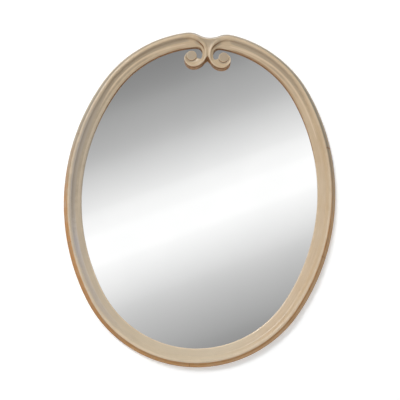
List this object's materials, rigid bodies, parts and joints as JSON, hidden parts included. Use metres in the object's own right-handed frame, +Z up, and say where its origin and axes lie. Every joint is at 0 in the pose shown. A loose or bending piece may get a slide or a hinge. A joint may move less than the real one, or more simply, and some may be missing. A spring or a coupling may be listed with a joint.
{
  "type": "oval mirror",
  "caption": "Oval wall mirror in a pale painted wood frame whose ridged moulding curls into facing scrolls over the glass; hangs from swinging rings on its back.",
  "frame": {"origin": "centre of the oval, on the wall plane behind the pads", "axes": "+Z up along the oval's long axis, -Y the way the mirror faces, +X to the viewer's right"},
  "size_m": [0.744, 0.036, 0.9246],
  "materials": {
    "painted_wood": "thin satin paint, rubbed",
    "dowel_wood": "raw beech",
    "silvered_glass": "polished, silvered back",
    "card": "plain",
    "shim_wood": "raw",
    "board": "smooth hardboard",
    "zinc_steel": "zinc plated",
    "felt": "pressed felt"
  },
  "bodies": {
    "frame": {"top_left_rail": "painted_wood", "top_right_rail": "painted_wood", "left_stile": "painted_wood", "right_stile": "painted_wood", "bottom_left_rail": "painted_wood", "bottom_right_rail": "painted_wood", "crest_dowels": "dowel_wood", "upper_left_dowels": "dowel_wood", "upper_right_dowels": "dowel_wood", "lower_left_dowels": "dowel_wood", "lower_right_dowels": "dowel_wood", "bottom_dowels": "dowel_wood", "mirror_plate": "silvered_glass", "backing_card": "card", "edge_shims": "shim_wood", "backboard": "board", "backboard_screws": "zinc_steel", "hanger_screws": "zinc_steel", "left_hanger_strap": "zinc_steel", "right_hanger_strap": "zinc_steel", "wall_pads": "felt"},
    "left_ring": {"left_hanger_ring": "zinc_steel"},
    "right_ring": {"right_hanger_ring": "zinc_steel"}
  },
  "joints": [
    {"name": "left_ring_swing", "type": "hinge", "parent": "frame", "child": "left_ring", "pos_m": [-0.34827, -0.0029, 0.12248], "axis": [1, 0, 0], "range_deg": [0, 180]},
    {"name": "right_ring_swing", "type": "hinge", "parent": "frame", "child": "right_ring", "pos_m": [0.34827, -0.0029, 0.12248], "axis": [1, 0, 0], "range_deg": [0, 180]}
  ]
}
